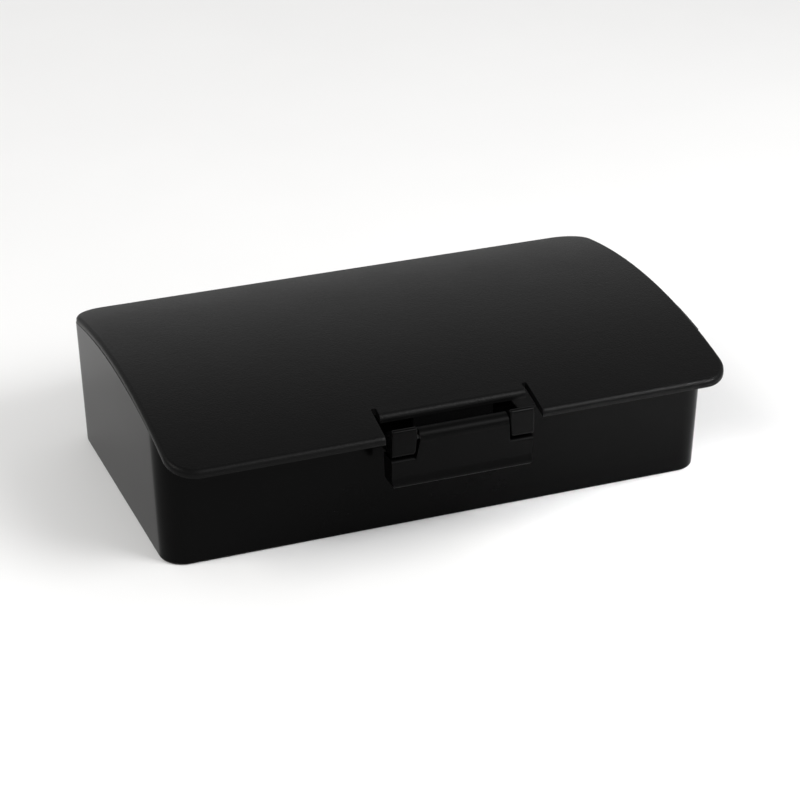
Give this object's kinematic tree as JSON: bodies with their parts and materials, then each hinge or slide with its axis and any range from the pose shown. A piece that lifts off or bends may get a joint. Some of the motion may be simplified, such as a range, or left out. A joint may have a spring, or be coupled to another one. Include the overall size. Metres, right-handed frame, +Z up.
{
  "type": "battery box",
  "caption": "Low black plastic battery box with an arched lid hinged at the back and a thumb latch at the front; inside are a cell tray, contacts and a cable terminal.",
  "frame": {"origin": "middle of the case's flat foot, on the surface it stands on", "axes": "+X along the box towards the cable grommet, +Y towards the hinges, +Z up"},
  "size_m": [0.1515, 0.0999, 0.0408],
  "materials": {
    "case_plastic": "moulded ABS, black, half gloss walls",
    "lid_plastic": "moulded ABS, black, fine grain",
    "lever_plastic": "moulded ABS, black, smooth",
    "tray_plastic": "moulded ABS, near black",
    "pin_steel": "bright drawn wire",
    "screw_steel": "zinc plated",
    "nickel": "nickel plated spring steel",
    "brass": "turned brass",
    "red_insulation": "PVC insulation",
    "black_insulation": "PVC insulation",
    "block_plastic": "moulded nylon",
    "rubber": "moulded rubber"
  },
  "bodies": {
    "case": {"tub": "case_plastic", "latch_pin": "pin_steel", "hinge_pin_left": "pin_steel", "hinge_pin_right": "pin_steel", "cell_tray": "tray_plastic", "tray_screws": "screw_steel", "bridge_plate": "nickel", "positive_plate": "nickel", "negative_plate": "nickel", "bridge_spring": "nickel", "negative_spring": "nickel", "plate_rivets": "brass", "lead_red": "red_insulation", "lead_black": "black_insulation", "terminal_block": "block_plastic", "terminal_clamps": "brass", "terminal_screws": "screw_steel", "cable_grommet": "rubber"},
    "lid": {"lid": "lid_plastic"},
    "latch": {"latch_lever": "lever_plastic"}
  },
  "joints": [
    {"name": "lid_hinge", "type": "hinge", "parent": "case", "child": "lid", "pos_m": [0, 0.0445, 0.0315], "axis": [-1, 0, 0], "range_deg": [0, 110]},
    {"name": "latch_pivot", "type": "hinge", "parent": "case", "child": "latch", "pos_m": [0.0004, -0.0506, 0.0304], "axis": [-1, 0, 0], "range_deg": [0, 100]}
  ]
}
